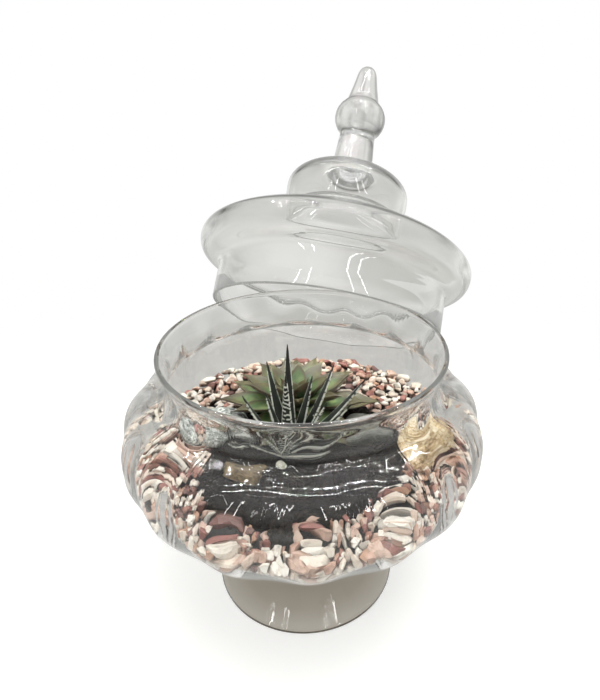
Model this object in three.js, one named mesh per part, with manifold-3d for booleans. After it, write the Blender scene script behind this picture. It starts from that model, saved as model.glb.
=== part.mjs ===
// Glass plant terrarium: a lobed glass jar on a hollow foot, filled with stones, gravel and soil,
// planted with an echeveria and a haworthia, its glass lid tipped back over the rim.
// Millimetres, +Z up. Everything is drawn about the jar's axis and then moved so that the origin is
// the middle of the whole object's footprint.
import * as THREE from 'three';
import { mergeVertices } from 'three/addons/utils/BufferGeometryUtils.js';
import Module from 'manifold-3d';

const wasm = await Module();
wasm.setup();

// The jar: heights are above the surface that it stands on.
const WALL = 3;
const RIM_RADIUS = 85;
const RIM_HEIGHT = 179.4;
const LIP = 1.5;
const NECK_RADIUS = 82;
const SHOULDER_RADIUS = 87.9;
const SHOULDER_HEIGHT = 151.8;
const BELLY_RADIUS = 110.9;
const BELLY_HEIGHT = 114.9;
const WAIST_RADIUS = 38.3;
const WAIST_HEIGHT = 55;
const FOOT_RADIUS = 61.8;
const FLOOR_HEIGHT = 59;
const RECESS_HEIGHT = 52;
const LOBES = 16;
const LOBE_DEPTH = 2.2;
const LOBE_DEPTH_INSIDE = 0.9;
const LOBE_TURN = THREE.MathUtils.degToRad(-84.8);
const JAR_SEGMENTS = 64;

// The lid, measured along its own axis from the edge of its collar.
const LID_WALL = 2.5;
const COLLAR_RADIUS = 77;
const COLLAR_HEIGHT = 26.7;
const BODY_RADIUS = 92;
const BODY_HEIGHT = 39;
const TIER_RADIUS = 42.6;
const TIER_HEIGHT = 90.8;
const TIER_TOP = 106.2;
const FOLD_RADIUS = 38.6;
const FOLD_HEIGHT = 73;
const STEM_RADIUS = 13.6;
const BALL_RADIUS = 18.2;
const BALL_HEIGHT = 151.5;
const CONE_RADIUS = 11.1;
const TIP_HEIGHT = 193.8;
const LID_SEGMENTS = 36;

// How the lid is hooked over the back rim: the middle of its collar's edge, its lean and side tilt.
const LID_SEAT = new THREE.Vector3(12.14, 50.85, 170.13);
const LID_LEAN = THREE.MathUtils.degToRad(37.59);
const LID_SIDE = THREE.MathUtils.degToRad(8.22);

// What fills the jar.
const GAP = 0.3;
const SLIVER = 0.15;
const STONE_TOP = 79;
const BED_TOP = 109;
const SOIL_TOP = 110;
const SOIL_MIDDLE = new THREE.Vector2(-2, -12);
const SOIL_RADIUS = 64;
const SOIL_CRUMBS = 24;
const FILL_SEGMENTS = 24;
const STONE_SIZE = 26;
const CHIP_SIZE = 17;
const CHIP_SPACING = 1.35;

// The plants: where each stem goes into the soil.
const ECHEVERIA = new THREE.Vector3(-6.9, 23.4, 112);
const ECHEVERIA_LEAVES = 26;
const ECHEVERIA_STEM = 7;
const ECHEVERIA_TURN = 5.4;
const ECHEVERIA_CURL = THREE.MathUtils.degToRad(-4);
const HAWORTHIA = new THREE.Vector3(-8, -19, 111);
const HAWORTHIA_STEM = 6;
const STEM_REACH = 12;

const GOLDEN_ANGLE = Math.PI * (3 - Math.sqrt(5));

// Seeded random numbers from 0 to 1, the same on every run.
function randomFrom(seed) {
  let state = seed;
  return () => {
    state = (state + 0x6d2b79f5) | 0;
    let t = Math.imul(state ^ (state >>> 15), 1 | state);
    t = (t + Math.imul(t ^ (t >>> 7), 61 | t)) ^ t;
    return ((t ^ (t >>> 14)) >>> 0) / 4294967296;
  };
}

function between(random, low, high) {
  return low + (high - low) * random();
}

// A closed shell of shared vertices: seams merged, triangles that closed up at a pole dropped.
function closedShell(geometry) {
  const bare = geometry.clone();
  for (const name of Object.keys(bare.attributes)) {
    if (name !== 'position') bare.deleteAttribute(name);
  }
  const merged = mergeVertices(bare, 1e-4);
  const index = merged.index.array;
  const kept = [];
  for (let i = 0; i < index.length; i += 3) {
    const [a, b, c] = [index[i], index[i + 1], index[i + 2]];
    if (a !== b && b !== c && c !== a) kept.push(a, b, c);
  }
  merged.setIndex(kept);
  return merged;
}

function solidOf(geometry) {
  const shell = closedShell(geometry);
  const vertProperties = Float32Array.from(shell.attributes.position.array);
  const triVerts = Uint32Array.from(shell.index.array);
  return new wasm.Manifold(new wasm.Mesh({ numProp: 3, vertProperties, triVerts }));
}

function geometryOf(solid) {
  const mesh = solid.getMesh();
  const geometry = new THREE.BufferGeometry();
  geometry.setAttribute('position', new THREE.BufferAttribute(Float32Array.from(mesh.vertProperties), 3));
  geometry.setIndex(new THREE.BufferAttribute(Uint32Array.from(mesh.triVerts), 1));
  return geometry;
}

// Cutting and joining can leave closed pockets and loose scraps, which are dropped.
function largestPiece(solid) {
  return solid.decompose().reduce((most, piece) => (piece.volume() > most.volume() ? piece : most));
}

function cutBy(solid, cutters) {
  return cutters.reduce((left, cutter) => left.subtract(cutter), solid);
}

// Joins solids two by two, so that each join stays small.
function joined(solids) {
  let row = solids;
  while (row.length > 1) {
    const next = [];
    for (let i = 0; i + 1 < row.length; i += 2) next.push(row[i].add(row[i + 1]));
    if (row.length % 2) next.push(row[row.length - 1]);
    row = next;
  }
  return largestPiece(row[0].simplify(SLIVER));
}

// A cubic curve between two points of a profile, without its first point.
function curve(start, handleA, handleB, end, steps) {
  const path = new THREE.CubicBezierCurve(
    new THREE.Vector2(...start),
    new THREE.Vector2(...handleA),
    new THREE.Vector2(...handleB),
    new THREE.Vector2(...end),
  );
  return path.getPoints(steps).slice(1).map((p) => [p.x, p.y]);
}

// A quarter ellipse from one point of a profile to another, without its first point.
// It leaves the start along the profile's radius if flat is true, otherwise along its height.
function quarter(start, end, steps, flat) {
  const points = [];
  for (let i = 1; i <= steps; i += 1) {
    const turn = (Math.PI / 2) * (i / steps);
    const [rise, run] = flat ? [1 - Math.cos(turn), Math.sin(turn)] : [Math.sin(turn), 1 - Math.cos(turn)];
    points.push([start[0] + (end[0] - start[0]) * run, start[1] + (end[1] - start[1]) * rise]);
  }
  return points;
}

// A profile moved sideways by a wall's thickness, to the left of the way it runs.
function offset(profile, thickness) {
  return profile.map(([r, z], i) => {
    const before = profile[Math.max(i - 1, 0)];
    const after = profile[Math.min(i + 1, profile.length - 1)];
    const run = new THREE.Vector2(after[0] - before[0], after[1] - before[1]).normalize();
    return [r - run.y * thickness, z + run.x * thickness];
  });
}

// Turns a profile of [radius, height] about the Z axis. shape may move each point.
function turned(profile, segments, shape) {
  const points = profile.map(([r, z]) => new THREE.Vector2(Math.max(r, 0), z));
  const geometry = new THREE.LatheGeometry(points, segments);
  geometry.rotateX(Math.PI / 2);
  if (shape) {
    const position = geometry.attributes.position;
    const point = new THREE.Vector3();
    for (let i = 0; i < position.count; i += 1) {
      point.fromBufferAttribute(position, i);
      shape(point, i % profile.length);
      position.setXYZ(i, point.x, point.y, point.z);
    }
  }
  const shell = closedShell(geometry);
  if (enclosedArea(profile) < 0) shell.index.array.reverse();
  return shell;
}

// The area inside a profile that closes along the axis: negative where it runs clockwise.
function enclosedArea(profile) {
  return profile.reduce((sum, [r, z], i) => {
    const [nextR, nextZ] = profile[(i + 1) % profile.length];
    return sum + (r * nextZ - nextR * z) / 2;
  }, 0);
}

// How strongly the lobes show at a height: not on the rim, fully on the bowl, not on the foot.
function lobeStrength(height) {
  const underRim = THREE.MathUtils.smoothstep(RIM_HEIGHT - height, 3, 20);
  const overFoot = THREE.MathUtils.smoothstep(height, WAIST_HEIGHT, WAIST_HEIGHT + 22);
  return underRim * overFoot;
}

function pushIn(point, depth) {
  const radius = Math.hypot(point.x, point.y);
  if (radius < 1) return;
  const wave = 0.5 - 0.5 * Math.cos(LOBES * (Math.atan2(point.y, point.x) - LOBE_TURN));
  const scale = (radius - depth * wave * lobeStrength(point.z)) / radius;
  point.x *= scale;
  point.y *= scale;
}

// The outside of the bowl and neck, from the waist up to just under the lip. steps are the points
// along the bowl, the shoulder and the neck.
function bowlProfile(steps) {
  const waist = [WAIST_RADIUS, WAIST_HEIGHT];
  const belly = [BELLY_RADIUS, BELLY_HEIGHT];
  const shoulder = [SHOULDER_RADIUS, SHOULDER_HEIGHT];
  const neck = [NECK_RADIUS, 165];
  return [
    waist,
    ...curve(waist, [WAIST_RADIUS + 5, WAIST_HEIGHT], [BELLY_RADIUS, BELLY_HEIGHT - 31], belly, steps[0]),
    ...curve(belly, [BELLY_RADIUS, BELLY_HEIGHT + 11.6], [112.8, 143.7], shoulder, steps[1]),
    ...curve(shoulder, [84, 153.5], [NECK_RADIUS, 157], neck, steps[2]),
    [RIM_RADIUS, RIM_HEIGHT - LIP],
  ];
}

// The inside of the bowl and neck, from the edge of its flat floor up to just under the lip.
function bowlInside() {
  const inside = offset(bowlProfile([4, 4, 2]), WALL);
  inside[0] = [WAIST_RADIUS - 6, FLOOR_HEIGHT];
  return inside;
}

function jar() {
  const outside = bowlProfile([5, 4, 2]);
  const inside = bowlInside();
  const lip = [
    [RIM_RADIUS - LIP * 0.5, RIM_HEIGHT - LIP * 0.13],
    [RIM_RADIUS - LIP * 1.5, RIM_HEIGHT - LIP * 0.13],
  ];
  const foot = [
    [WAIST_RADIUS - 2.6, WAIST_HEIGHT - 3],
    ...curve([WAIST_RADIUS - 2.6, WAIST_HEIGHT - 3], [33, 40], [42, 22], [51, 12], 3),
    [FOOT_RADIUS, 1.4],
    [FOOT_RADIUS - 0.6, 0],
  ];
  const recess = [
    [FOOT_RADIUS - WALL, 0],
    [47.6, 12],
    [35, 29],
    [29, RECESS_HEIGHT],
    [0, RECESS_HEIGHT],
  ];
  const bowl = outside.slice(1).reverse();
  const waist = [WAIST_RADIUS, WAIST_HEIGHT];
  const profile = [[0, FLOOR_HEIGHT], ...inside, ...lip.reverse(), ...bowl, waist, ...foot, ...recess];
  const lastInside = inside.length;
  const firstOutside = lastInside + lip.length + 1;
  const lastOutside = firstOutside + bowl.length;
  return turned(profile, JAR_SEGMENTS, (point, i) => {
    if (i > 0 && i <= lastInside) pushIn(point, LOBE_DEPTH_INSIDE);
    if (i >= firstOutside && i < lastOutside) pushIn(point, LOBE_DEPTH);
  });
}

// The lid's outer skin from the collar to the tier's top. steps are the points along each stretch.
function lidSkin(steps) {
  const junction = [COLLAR_RADIUS, COLLAR_HEIGHT];
  const widest = [BODY_RADIUS, BODY_HEIGHT];
  const throat = [46.5, 65];
  const fold = [FOLD_RADIUS, FOLD_HEIGHT];
  const tier = [TIER_RADIUS, TIER_HEIGHT];
  return [
    [COLLAR_RADIUS, COLLAR_HEIGHT - 4],
    junction,
    ...quarter(junction, widest, steps[0], true),
    ...curve(widest, [BODY_RADIUS, 49], [74, 55], throat, steps[1]),
    ...curve(throat, [42, 67], [FOLD_RADIUS, 69], fold, steps[2]),
    ...quarter(fold, tier, steps[3], true),
    ...quarter(tier, [STEM_RADIUS + 4, TIER_TOP], steps[4], false),
  ];
}

function lid() {
  const collarEdge = [
    [COLLAR_RADIUS - LID_WALL, 1],
    [COLLAR_RADIUS - LID_WALL / 2, 0],
    [COLLAR_RADIUS, 1],
  ];
  const finial = [
    [STEM_RADIUS + 0.6, TIER_TOP + 3],
    [STEM_RADIUS - 1, 138],
    ...ball(),
    [7.4, 185],
    [5.6, 191],
    [0, TIP_HEIGHT],
  ];
  const hollow = offset(lidSkin([2, 4, 2, 2, 2]), LID_WALL).reverse().slice(1);
  const skin = lidSkin([3, 4, 2, 3, 3]);
  const profile = [[0, TIER_TOP - 3.2], [16, TIER_TOP - 3], ...hollow, ...collarEdge, ...skin, ...finial];
  return turned(profile, LID_SEGMENTS);
}

// The finial's ball, from its neck below to its neck above.
function ball() {
  const points = [];
  for (const turn of [-42, -24, 0, 24, 44]) {
    const angle = THREE.MathUtils.degToRad(turn);
    points.push([BALL_RADIUS * Math.cos(angle), BALL_HEIGHT + BALL_RADIUS * 0.84 * Math.sin(angle)]);
  }
  return [...points, [CONE_RADIUS, 166]];
}

// The room inside the jar: its inner radius at a height, less what the lobes take and a gap.
const roomProfile = bowlInside();
function roomRadius(height) {
  for (let i = 1; i < roomProfile.length; i += 1) {
    const [r0, z0] = roomProfile[i - 1];
    const [r1, z1] = roomProfile[i];
    if (height <= z1) {
      const share = THREE.MathUtils.clamp((height - z0) / (z1 - z0), 0, 1);
      return r0 + (r1 - r0) * share - LOBE_DEPTH_INSIDE * lobeStrength(height) - 3 * GAP;
    }
  }
  return RIM_RADIUS - WALL;
}

// An angular stone: a box with its corners moved, turned at random, kept inside the jar and
// between two heights.
function chip(random, place, size, low, high) {
  const width = size * between(random, 0.6, 0.9);
  const geometry = new THREE.BoxGeometry(size, width, size * between(random, 0.5, 0.75));
  const shell = closedShell(geometry);
  const position = shell.attributes.position;
  const turn = new THREE.Euler(between(random, 0, 6.28), between(random, 0, 6.28), between(random, 0, 6.28));
  const corner = new THREE.Vector3();
  for (let i = 0; i < position.count; i += 1) {
    corner.fromBufferAttribute(position, i);
    corner.multiplyScalar(between(random, 0.78, 1.12)).applyEuler(turn).add(place);
    corner.z = THREE.MathUtils.clamp(corner.z, low, high);
    const limit = roomRadius(corner.z);
    const radius = Math.hypot(corner.x, corner.y);
    if (radius > limit) {
      corner.x *= limit / radius;
      corner.y *= limit / radius;
    }
    position.setXYZ(i, corner.x, corner.y, corner.z);
  }
  return solidOf(shell);
}

// A round body that fills the jar between two heights, held back from the glass by inset.
function filling(low, high, inset) {
  const steps = 5;
  const profile = [[0, low]];
  for (let i = 0; i <= steps; i += 1) {
    const height = low + ((high - low) * i) / steps;
    profile.push([roomRadius(height) - inset, height]);
  }
  profile.push([0, high]);
  return solidOf(turned(profile, FILL_SEGMENTS));
}

// Chips in rings: against the glass at each height, then over the top of the bed.
function chipRing(random, radius, height, size, low, high) {
  const count = Math.round((2 * Math.PI * radius) / (size * CHIP_SPACING));
  const chips = [];
  for (let i = 0; i < count; i += 1) {
    const angle = ((i + between(random, -0.3, 0.3)) / count) * 2 * Math.PI;
    const reach = radius + between(random, -1.5, 1.5);
    const lift = between(random, -1.5, 1.5);
    const place = new THREE.Vector3(reach * Math.cos(angle), reach * Math.sin(angle), height + lift);
    chips.push(chip(random, place, size * between(random, 0.9, 1.2), low, high));
  }
  return chips;
}

function whiteStones() {
  const random = randomFrom(11);
  const low = FLOOR_HEIGHT + GAP;
  const stones = [filling(low, STONE_TOP - 3, 2.5)];
  for (const height of [67, 74]) {
    stones.push(...chipRing(random, roomRadius(height) - 6, height, STONE_SIZE, low, STONE_TOP));
  }
  return joined(stones);
}

// A soil-shaped cutter, so that gravel and soil meet with a small gap.
function soilRoom(extra, low, high) {
  const profile = [[0, low], [SOIL_RADIUS + extra, low], [SOIL_RADIUS + extra, high], [0, high]];
  const shell = turned(profile, FILL_SEGMENTS, (point) => {
    const angle = Math.atan2(point.y, point.x);
    const waver = 1 + 0.05 * Math.sin(3 * angle + 1) + 0.035 * Math.sin(5 * angle);
    point.x = point.x * waver + SOIL_MIDDLE.x;
    point.y = point.y * waver + SOIL_MIDDLE.y;
  });
  return solidOf(shell);
}

function pinkGravel(nests) {
  const random = randomFrom(23);
  const low = STONE_TOP + GAP;
  const chips = [filling(low, BED_TOP - 4, 3)];
  chips.push(...chipRing(random, roomRadius(92) - 6, 92, CHIP_SIZE + 3, low, BED_TOP));
  for (const radius of [96, 77]) {
    chips.push(...chipRing(random, radius, BED_TOP - 4, CHIP_SIZE, low, BED_TOP + 5));
  }
  const cut = cutBy(joined(chips), [soilRoom(GAP, low - 1, RIM_HEIGHT), ...nests]);
  return largestPiece(cut.simplify(SLIVER));
}

function soil(nests) {
  const random = randomFrom(31);
  const low = STONE_TOP + GAP;
  const crumbs = [soilRoom(0, low, SOIL_TOP - 2).intersect(filling(low, SOIL_TOP - 2, 4))];
  for (let i = 0; i < SOIL_CRUMBS; i += 1) {
    const radius = (SOIL_RADIUS - 12) * Math.sqrt((i + 0.5) / SOIL_CRUMBS);
    const angle = i * GOLDEN_ANGLE;
    const place = new THREE.Vector3(
      SOIL_MIDDLE.x + radius * Math.cos(angle),
      SOIL_MIDDLE.y + radius * Math.sin(angle),
      SOIL_TOP - 3,
    );
    crumbs.push(chip(random, place, between(random, 9, 14), STONE_TOP, SOIL_TOP + 3));
  }
  return largestPiece(cutBy(joined(crumbs), nests).simplify(SLIVER));
}

// The larger stones on top: where each one's middle is, its half sizes and its turn.
const stones = {
  granite_pebble: { at: [-56, -2, 117], size: [21, 16, 12], turn: 0.5, rough: 0.05, seed: 3, color: 0x9aa09c },
  dark_stone: { at: [39, 7, 114], size: [15, 10, 8], turn: -0.4, rough: 0.1, seed: 5, color: 0x4a4c46 },
  honey_rock: { at: [77, -9, 113], size: [19, 15, 15], turn: 0.9, rough: 0.2, seed: 9, color: 0xc9b27a },
  brown_stone: { at: [-33, -40, 112.5], size: [10.5, 6.5, 5], turn: 0.1, rough: 0.1, seed: 13, color: 0x6b5a3c },
  pale_pebble: { at: [-10, -37.5, 114.5], size: [5, 4.4, 4], turn: 0, rough: 0.06, seed: 17, color: 0xc9c4b4 },
};

// A rounded stone: a ball with its points moved in or out, then stretched. extra makes its nest.
function stone({ at, size, turn, rough, seed }, extra) {
  const random = randomFrom(seed);
  const shell = closedShell(new THREE.IcosahedronGeometry(1, 1));
  const waves = Array.from({ length: 5 }, () => [
    new THREE.Vector3(between(random, -1, 1), between(random, -1, 1), between(random, -1, 1)).normalize(),
    between(random, 1.5, 4),
    between(random, 0, 6.28),
  ]);
  const position = shell.attributes.position;
  const point = new THREE.Vector3();
  for (let i = 0; i < position.count; i += 1) {
    point.fromBufferAttribute(position, i);
    const bump = waves.reduce((sum, [way, rate, phase]) => sum + Math.sin(2 * rate * point.dot(way) + phase), 0);
    const swell = 1 + (rough * bump) / 2;
    point.set(
      point.x * (size[0] * swell + extra),
      point.y * (size[1] * swell + extra),
      point.z * (size[2] * swell + extra),
    );
    point.applyAxisAngle(new THREE.Vector3(0, 0, 1), turn);
    point.add(new THREE.Vector3(...at));
    position.setXYZ(i, point.x, point.y, point.z);
  }
  return solidOf(shell);
}

// One leaf from stations along its middle line. Each station has a half width, a half thickness
// and a hollow on its upper side; the leaf starts at the plant's middle and ends in a point.
function leaf(stations, sides) {
  const rings = stations.map(({ at, side, up, width, thick, hollow }) => {
    const ring = [];
    for (let k = 0; k < sides; k += 1) {
      const turn = (2 * Math.PI * k) / sides;
      const across = Math.cos(turn);
      const through = Math.sin(turn);
      const sink = through > 0 ? 1 - hollow : 1;
      ring.push(at.clone().addScaledVector(side, width * across).addScaledVector(up, thick * through * sink));
    }
    return ring;
  });
  const vertices = rings.flat();
  const tail = vertices.push(stations[0].at) - 1;
  const last = stations[stations.length - 1];
  const tip = vertices.push(last.at.clone().addScaledVector(last.along, last.width * 1.6)) - 1;
  const index = [];
  for (let i = 0; i + 1 < rings.length; i += 1) {
    for (let k = 0; k < sides; k += 1) {
      const a = i * sides + k;
      const b = i * sides + ((k + 1) % sides);
      index.push(a, b, b + sides, a, b + sides, a + sides);
    }
  }
  const end = (rings.length - 1) * sides;
  for (let k = 0; k < sides; k += 1) {
    const next = (k + 1) % sides;
    index.push(tail, next, k, tip, end + k, end + next);
  }
  const geometry = new THREE.BufferGeometry();
  const coordinates = vertices.flatMap((v) => [v.x, v.y, v.z]);
  geometry.setAttribute('position', new THREE.Float32BufferAttribute(coordinates, 3));
  geometry.setIndex(index);
  return solidOf(geometry);
}

// The middle line of a leaf that starts at root, heads out at a lean from upright and curls back up.
function leafStations({ root, azimuth, lean, curl, length, shape, count }) {
  const out = new THREE.Vector3(Math.cos(azimuth), Math.sin(azimuth), 0);
  const side = new THREE.Vector3(-Math.sin(azimuth), Math.cos(azimuth), 0);
  const at = root.clone();
  const stations = [];
  for (let i = 0; i < count; i += 1) {
    const share = i / (count - 1);
    const angle = lean - curl * share;
    const along = out.clone().multiplyScalar(Math.sin(angle)).add(new THREE.Vector3(0, 0, Math.cos(angle)));
    if (i > 0) at.addScaledVector(along, length / (count - 1));
    const up = new THREE.Vector3().crossVectors(along, side);
    stations.push({ at: at.clone(), along, side, up, ...shape(share) });
  }
  return stations;
}

// The share of an echeveria leaf's full width at a share of its length: widest past the middle.
function leafWidth(share) {
  const swell = 0.34 + 0.66 * Math.sin(Math.PI * (share * 0.8 + 0.02)) ** 0.8;
  return share > 0.9 ? swell * 0.55 : swell;
}

// Echeveria: broad pointed leaves in a spiral, the inner ones short and upright. Those that face the
// haworthia stay short.
function echeveria() {
  const solids = [stem(ECHEVERIA, ECHEVERIA_STEM, 9)];
  for (let i = 0; i < ECHEVERIA_LEAVES; i += 1) {
    const age = (i + 0.5) / ECHEVERIA_LEAVES;
    const azimuth = i * GOLDEN_ANGLE + ECHEVERIA_TURN;
    const facing = Math.max(0, -Math.sin(azimuth + 0.05)) ** 3;
    const length = (25.9 + 36.6 * age ** 0.84) * (1 - 0.64 * facing * age);
    const width = (5.4 + 4.6 * age) * (1 - 0.2 * facing * age);
    const lean = THREE.MathUtils.degToRad(18 + 72 * age ** 0.5);
    const root = ECHEVERIA.clone().add(new THREE.Vector3(0, 0, 10 - 5.5 * age));
    const shape = (share) => ({
      width: width * leafWidth(share),
      thick: (3.2 - 0.6 * age) * (1 - 0.55 * share),
      hollow: 0.55,
    });
    solids.push(leaf(leafStations({ root, azimuth, lean, curl: ECHEVERIA_CURL, length, shape, count: 5 }), 6));
  }
  return joined(solids);
}

// Haworthia: narrow tapering leaves with raised bands across their backs, placed one by one.
// Each row is the leaf's azimuth and lean in degrees, and its length.
const haworthiaLeaves = [
  [95, 12, 68],
  [128, 24, 57],
  [250, 3, 56],
  [40, 20, 50],
  [28, 34, 61],
  [350, 30, 44],
  [14, 51, 65],
  [356, 50, 51],
  [184, 38, 48],
  [166, 19, 42],
  [285, 42, 46],
  [235, 40, 44],
  [212, 62, 40],
  [310, 60, 42],
];

function haworthia() {
  const solids = [stem(HAWORTHIA, HAWORTHIA_STEM, 8)];
  const count = 9;
  haworthiaLeaves.forEach(([azimuth, lean, length]) => {
    const turn = THREE.MathUtils.degToRad(azimuth);
    const root = HAWORTHIA.clone().add(new THREE.Vector3(2 * Math.cos(turn), 2 * Math.sin(turn), 2));
    const shape = (share) => {
      const band = Math.round(share * (count - 1)) % 2 ? 0.35 : 0;
      return {
        width: 4.7 * (1 - share) ** 0.8 + 0.5,
        thick: 2.5 * (1 - share) ** 0.5 + 0.45 + band,
        hollow: 0.5,
      };
    };
    const stations = leafStations({
      root,
      azimuth: turn,
      lean: THREE.MathUtils.degToRad(lean),
      curl: THREE.MathUtils.degToRad(lean > 30 ? 14 : 4),
      length,
      shape,
      count,
    });
    solids.push(leaf(stations, 5));
  });
  return joined(solids);
}

// A plant's short stem, reaching down into its hole in the soil.
function stem(foot, radius, height) {
  return post(foot, radius, foot.z - STEM_REACH, foot.z + height);
}

function stemHole(foot, radius) {
  return post(foot, radius + GAP, foot.z - STEM_REACH - GAP, RIM_HEIGHT);
}

function post(foot, radius, low, high) {
  const profile = [[0, low], [radius, low], [radius, high], [0, high]];
  return solidOf(turned(profile, 10, (point) => point.add(new THREE.Vector3(foot.x, foot.y, 0))));
}

function piece(name, geometry, color, roughness, extra = {}) {
  const looks = { color, roughness, metalness: 0, flatShading: true, ...extra };
  const mesh = new THREE.Mesh(geometry, new THREE.MeshStandardMaterial(looks));
  mesh.name = name;
  return mesh;
}

const clearGlass = { transparent: true, opacity: 0.35 };
const object = new THREE.Group();
object.add(piece('glass_jar', jar(), 0xdfe3e0, 0.02, clearGlass));

const lidSeat = new THREE.Group();
lidSeat.position.copy(LID_SEAT);
lidSeat.rotation.set(-LID_LEAN, LID_SIDE, 0);
lidSeat.add(piece('glass_lid', lid(), 0xdfe3e0, 0.02, clearGlass));
object.add(lidSeat);

const nests = Object.values(stones).map((each) => stone(each, 2 * GAP));
const holes = [stemHole(ECHEVERIA, ECHEVERIA_STEM), stemHole(HAWORTHIA, HAWORTHIA_STEM)];
object.add(piece('white_stone_bed', geometryOf(whiteStones()), 0xe6e0d4, 0.75));
object.add(piece('pink_gravel_bed', geometryOf(pinkGravel([...nests, ...holes])), 0xcf9c8c, 0.75));
object.add(piece('soil', geometryOf(soil([...nests, ...holes])), 0x2b2420, 0.95));
for (const [name, each] of Object.entries(stones)) {
  object.add(piece(name, geometryOf(stone(each, 0)), each.color, 0.8));
}
object.add(piece('echeveria', geometryOf(echeveria()), 0x6d8a55, 0.5));
object.add(piece('haworthia', geometryOf(haworthia()), 0x2e3d2a, 0.5));

// The origin: the middle of the footprint, on the surface that the foot stands on.
object.updateMatrixWorld(true);
const middle = new THREE.Box3().setFromObject(object, true).getCenter(new THREE.Vector3());
object.position.set(-middle.x, -middle.y, 0);

export default object;
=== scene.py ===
# Glass plant terrarium: finer glass, stones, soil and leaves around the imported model.
from functools import partial
from math import atan2, cos, exp, hypot, pi, radians, sin, sqrt
from random import Random

import bpy
import numpy as np
from mathutils import Matrix, Vector, noise


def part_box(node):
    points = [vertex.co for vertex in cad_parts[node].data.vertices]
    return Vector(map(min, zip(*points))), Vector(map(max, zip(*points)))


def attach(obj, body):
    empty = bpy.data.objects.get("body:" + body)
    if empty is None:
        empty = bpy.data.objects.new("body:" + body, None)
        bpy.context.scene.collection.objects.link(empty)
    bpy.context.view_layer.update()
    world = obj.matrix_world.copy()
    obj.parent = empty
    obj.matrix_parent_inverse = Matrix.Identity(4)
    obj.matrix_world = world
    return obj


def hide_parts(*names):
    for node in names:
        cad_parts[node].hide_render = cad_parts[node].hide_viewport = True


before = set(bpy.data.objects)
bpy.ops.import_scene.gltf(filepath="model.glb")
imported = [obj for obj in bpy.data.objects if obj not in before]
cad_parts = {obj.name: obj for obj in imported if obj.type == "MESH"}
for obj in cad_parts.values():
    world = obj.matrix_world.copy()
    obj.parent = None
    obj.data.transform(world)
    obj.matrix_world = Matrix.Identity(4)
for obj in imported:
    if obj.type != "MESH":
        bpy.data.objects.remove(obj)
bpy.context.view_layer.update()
bpy.ops.object.select_all(action="DESELECT")

mm = 0.001
jarLow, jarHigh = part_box("glass_jar")
jarAxis = Vector(((jarLow.x + jarHigh.x) / 2, (jarLow.y + jarHigh.y) / 2, 0))
goldenAngle = pi * (3 - sqrt(5))
fullTurn = 2 * pi

# From millimetres about the jar's axis to metres in the row's frame.
toFrame = Matrix.Translation(jarAxis) @ Matrix.Scale(mm, 4)


# The points of a cubic curve, without its start.
def bezier(start, handleA, handleB, end, steps):
    points = []
    for i in range(1, steps + 1):
        t = i / steps
        a, b, c, d = (1 - t) ** 3, 3 * t * (1 - t) ** 2, 3 * t * t * (1 - t), t**3
        corners = zip(start, handleA, handleB, end)
        points.append(tuple(a * s + b * h + c * k + d * e for s, h, k, e in corners))
    return points


# A quarter ellipse that leaves start along its radius if flat is true, otherwise along its height.
def quarter(start, end, steps, flat):
    points = []
    for i in range(1, steps + 1):
        turn = pi / 2 * i / steps
        rise, run = (1 - cos(turn), sin(turn)) if flat else (sin(turn), 1 - cos(turn))
        points.append((start[0] + (end[0] - start[0]) * run, start[1] + (end[1] - start[1]) * rise))
    return points


# A profile moved sideways, to the left of the way it runs, by a thickness.
def offsetProfile(profile, thickness):
    moved = []
    for i, (r, z) in enumerate(profile):
        before, after = profile[max(i - 1, 0)], profile[min(i + 1, len(profile) - 1)]
        runR, runZ = after[0] - before[0], after[1] - before[1]
        length = hypot(runR, runZ)
        moved.append((r - runZ / length * thickness, z + runR / length * thickness))
    return moved


def smoothStep(value, low, high):
    share = min(max((value - low) / (high - low), 0), 1)
    return share * share * (3 - 2 * share)


def deselect():
    bpy.ops.object.select_all(action="DESELECT")


def editMode():
    bpy.ops.object.mode_set(mode="EDIT")
    bpy.ops.mesh.select_all(action="SELECT")


# Turns all faces of the mesh in edit mode outwards, and leaves edit mode.
def closeMesh():
    bpy.ops.mesh.select_all(action="SELECT")
    bpy.ops.mesh.normals_make_consistent(inside=False)
    bpy.ops.object.mode_set(mode="OBJECT")


def addObject(name, data):
    item = bpy.data.objects.new(name, data)
    bpy.context.collection.objects.link(item)
    return item


def addValues(mesh, name, values):
    mesh.attributes.new(name, "FLOAT", "POINT").data.foreach_set("value", values)


# Spins a closed profile of (radius, height) about the Z axis. marks is a value kept for each point.
def spinProfile(name, profile, steps, marks):
    deselect()
    bpy.ops.mesh.primitive_circle_add(vertices=len(profile), radius=1)
    piece = bpy.context.object
    piece.name = name
    for vertex, (radius, height) in zip(piece.data.vertices, profile):
        vertex.co = (max(radius, 0), 0, height)
    addValues(piece.data, "mark", marks)
    editMode()
    bpy.ops.mesh.spin(steps=steps, angle=fullTurn, center=(0, 0, 0), axis=(0, 0, 1))
    bpy.ops.mesh.select_all(action="SELECT")
    bpy.ops.mesh.remove_doubles(threshold=0.0005)
    bpy.ops.mesh.delete_loose(use_verts=True, use_edges=True, use_faces=False)
    closeMesh()
    return piece


# Puts a piece modelled in millimetres into the row's frame, with its object at the origin.
def place(piece, matrix=Matrix.Identity(4)):
    piece.data.transform(toFrame @ matrix)
    piece.matrix_world = Matrix.Identity(4)
    return piece


def smoothAll(piece):
    piece.data.polygons.foreach_set("use_smooth", [True] * len(piece.data.polygons))


def setMaterial(piece, material):
    piece.data.materials.clear()
    piece.data.materials.append(material)


# Reads a modelled shape as points and faces, and removes its object.
def takeShape(piece):
    points = np.array([v.co for v in piece.data.vertices])
    faces = [tuple(face.vertices) for face in piece.data.polygons]
    bpy.data.objects.remove(piece)
    return points, faces


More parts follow.
